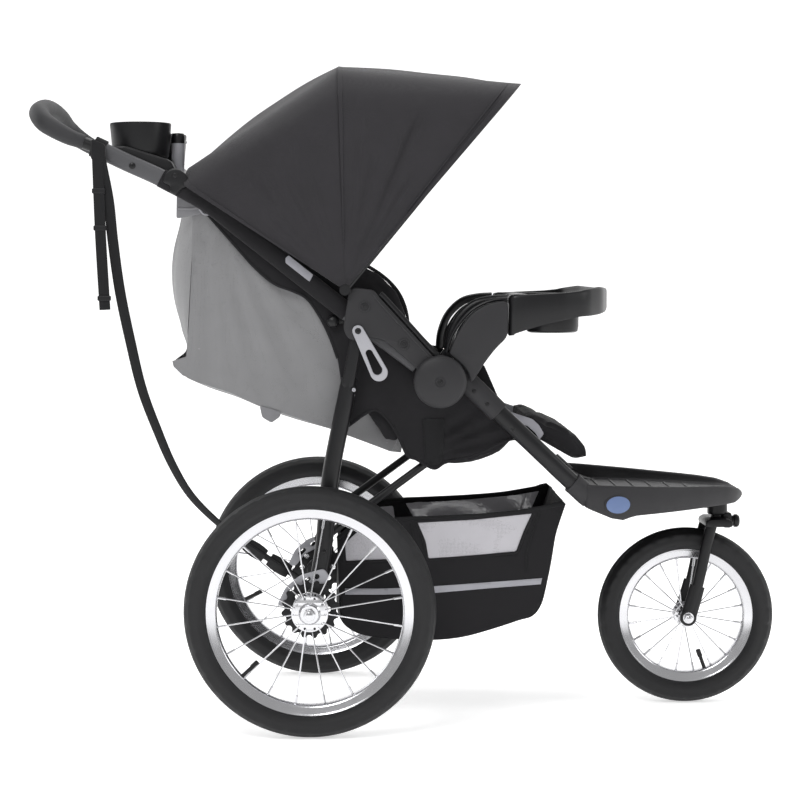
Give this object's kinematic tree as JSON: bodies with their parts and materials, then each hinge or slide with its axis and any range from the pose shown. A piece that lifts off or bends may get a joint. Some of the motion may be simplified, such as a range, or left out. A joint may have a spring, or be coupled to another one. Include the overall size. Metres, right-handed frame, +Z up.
{
  "type": "jogging stroller",
  "caption": "Three-wheeled folding jogging stroller with reclining seat, folding canopy, child tray, parent console, basket and swivelling front wheel.",
  "frame": {"origin": "on the ground, under the middle of the stroller's length and width, measured without the wrist tether", "axes": "+X forward, towards the front wheel; +Y to the stroller's left; +Z up"},
  "size_m": [1.2391, 0.64, 1.0818],
  "materials": {
    "black_tube": "satin black powder coat",
    "grey_tube": "satin grey powder coat",
    "charcoal_plastic": "fine moulded grain",
    "black_plastic": "semi-gloss moulded",
    "silver_plastic": "silver-grey moulded",
    "grip_foam": "matte textured rubber",
    "tyre": "matte tread rubber",
    "alloy": "polished alloy",
    "black_steel": "black stamped steel",
    "seat_fabric": "woven polyester",
    "canopy_fabric": "ripstop woven polyester",
    "mesh_fabric": "open knitted mesh",
    "webbing": "woven webbing"
  },
  "bodies": {
    "lower_frame": {"front_tube_R": "black_tube", "front_tube_L": "black_tube", "frame_hub_R": "charcoal_plastic", "frame_hub_L": "charcoal_plastic", "hub_cap_R": "charcoal_plastic", "hub_cap_L": "charcoal_plastic", "arm_tube_R": "black_plastic", "arm_tube_L": "black_plastic", "arm_panel_R": "charcoal_plastic", "arm_panel_L": "charcoal_plastic", "seat_cross_tube": "black_tube", "head_tube": "black_tube", "footrest_deck": "charcoal_plastic", "seat_base": "seat_fabric", "leg_rest": "seat_fabric", "basket": "seat_fabric", "harness_buckle": "black_plastic"},
    "buckle_button": {"buckle_button": "charcoal_plastic"},
    "child_tray": {"child_tray": "black_plastic"},
    "upper_frame": {"upper_tube_R": "grey_tube", "upper_tube_L": "grey_tube", "side_bracket_R": "charcoal_plastic", "side_bracket_L": "charcoal_plastic", "handle_tube": "black_tube", "handle_grip": "grip_foam", "console_body": "black_plastic", "mesh_enclosure": "mesh_fabric", "canopy_rear": "canopy_fabric", "tether_strap": "webbing"},
    "console_lid": {"console_lid": "black_plastic"},
    "fold_latch_R": {"fold_latch_R": "silver_plastic"},
    "fold_latch_L": {"fold_latch_L": "silver_plastic"},
    "middle_bow": {"canopy_middle_bow": "black_plastic", "canopy_front": "canopy_fabric"},
    "front_bow": {"canopy_front_bow": "black_plastic"},
    "seat_hinge": {"seat_wings": "seat_fabric"},
    "seat_back": {"seat_back": "seat_fabric"},
    "rear_frame": {"rear_leg_R": "black_tube", "rear_leg_L": "black_tube", "rear_axle": "alloy", "rear_cross_tube": "black_tube"},
    "rear_wheel_R": {"rear_tyre_R": "tyre", "rear_rim_R": "alloy", "rear_hub_R": "alloy", "brake_disc_R": "black_steel"},
    "rear_wheel_L": {"rear_tyre_L": "tyre", "rear_rim_L": "alloy", "rear_hub_L": "alloy", "brake_disc_L": "black_steel"},
    "brake_pedal_R": {"brake_pedal_R": "silver_plastic"},
    "brake_pedal_L": {"brake_pedal_L": "silver_plastic"},
    "links": {"link_R": "black_tube", "link_L": "black_tube"},
    "fork": {"front_fork": "black_tube", "front_axle": "alloy"},
    "front_wheel": {"front_tyre": "tyre", "front_rim": "alloy", "front_hub": "alloy"},
    "swivel_lock": {"swivel_lock_knob": "black_plastic"}
  },
  "joints": [
    {"name": "frame_fold", "type": "hinge", "parent": "lower_frame", "child": "upper_frame", "pos_m": [0.04215, 0, 0.562], "axis": [0, -1, 0], "range_deg": [0, 88], "deforming": ["mesh_enclosure", "tether_strap", "basket"]},
    {"name": "rear_leg_fold", "type": "hinge", "parent": "upper_frame", "child": "rear_frame", "pos_m": [-0.08785, 0, 0.643], "axis": [0, -1, 0], "range_deg": [-35, 0.5]},
    {"name": "link_fold", "type": "hinge", "parent": "rear_frame", "child": "links", "pos_m": [-0.14685, 0, 0.303], "axis": [0, -1, 0], "range_deg": [-0.5, 19]},
    {"name": "seat_fold", "type": "hinge", "parent": "lower_frame", "child": "seat_hinge", "pos_m": [-0.03185, 0, 0.47], "axis": [0, -1, 0], "range_deg": [-0.5, 82]},
    {"name": "seat_recline", "type": "hinge", "parent": "seat_hinge", "child": "seat_back", "pos_m": [-0.03185, 0, 0.47], "axis": [0, -1, 0], "range_deg": [-20, 0]},
    {"name": "canopy_fold", "type": "hinge", "parent": "upper_frame", "child": "middle_bow", "pos_m": [-0.10835, 0, 0.708], "axis": [0, -1, 0], "range_deg": [0, 38], "deforming": ["canopy_rear", "canopy_front"]},
    {"name": "canopy_visor", "type": "hinge", "parent": "middle_bow", "child": "front_bow", "pos_m": [-0.10835, 0, 0.708], "axis": [0, -1, 0], "range_deg": [-0.5, 38.5]},
    {"name": "console_lid_hinge", "type": "hinge", "parent": "upper_frame", "child": "console_lid", "pos_m": [-0.38385, 0, 0.9595], "axis": [0, 1, 0], "range_deg": [0, 95]},
    {"name": "latch_lift_R", "type": "hinge", "parent": "upper_frame", "child": "fold_latch_R", "pos_m": [-0.08785, -0.247, 0.643], "axis": [0, -1, 0], "range_deg": [0, 30], "stiffness_Nm_per_rad": 0.2, "springref_deg": -11.46},
    {"name": "latch_lift_L", "type": "hinge", "parent": "upper_frame", "child": "fold_latch_L", "pos_m": [-0.08785, 0.247, 0.643], "axis": [0, -1, 0], "range_deg": [0, 30], "stiffness_Nm_per_rad": 0.2, "springref_deg": -11.46},
    {"name": "tray_slide", "type": "slide", "parent": "lower_frame", "child": "child_tray", "axis": [1, 0, 0], "range_m": [0, 0.06]},
    {"name": "buckle_press", "type": "slide", "parent": "lower_frame", "child": "buckle_button", "axis": [-1, 0, 0], "range_m": [0, 0.003], "stiffness_N_per_m": 300},
    {"name": "wheel_spin_R", "type": "hinge", "parent": "rear_frame", "child": "rear_wheel_R", "pos_m": [-0.16485, -0.28, 0.2], "axis": [0, 1, 0], "continuous": true},
    {"name": "wheel_spin_L", "type": "hinge", "parent": "rear_frame", "child": "rear_wheel_L", "pos_m": [-0.16485, 0.28, 0.2], "axis": [0, 1, 0], "continuous": true},
    {"name": "brake_press_R", "type": "hinge", "parent": "rear_frame", "child": "brake_pedal_R", "pos_m": [-0.14685, -0.242, 0.25], "axis": [0, -1, 0], "range_deg": [0, 15]},
    {"name": "brake_press_L", "type": "hinge", "parent": "rear_frame", "child": "brake_pedal_L", "pos_m": [-0.14685, 0.242, 0.25], "axis": [0, -1, 0], "range_deg": [0, 15]},
    {"name": "fork_swivel", "type": "hinge", "parent": "lower_frame", "child": "fork", "pos_m": [0.52415, 0, 0.3445], "axis": [0, 0, 1], "continuous": true},
    {"name": "front_wheel_spin", "type": "hinge", "parent": "fork", "child": "front_wheel", "pos_m": [0.46985, 0, 0.15], "axis": [0, 1, 0], "continuous": true},
    {"name": "swivel_lock_pull", "type": "slide", "parent": "fork", "child": "swivel_lock", "axis": [1, 0, 0], "range_m": [0, 0.006], "stiffness_N_per_m": 300}
  ],
  "couplings": [
    {"joint": "rear_leg_fold", "follows": "frame_fold", "ratio": -0.387},
    {"joint": "link_fold", "follows": "frame_fold", "ratio": 0.2},
    {"joint": "seat_fold", "follows": "frame_fold", "ratio": 0.92},
    {"joint": "canopy_visor", "follows": "canopy_fold", "ratio": 1}
  ]
}
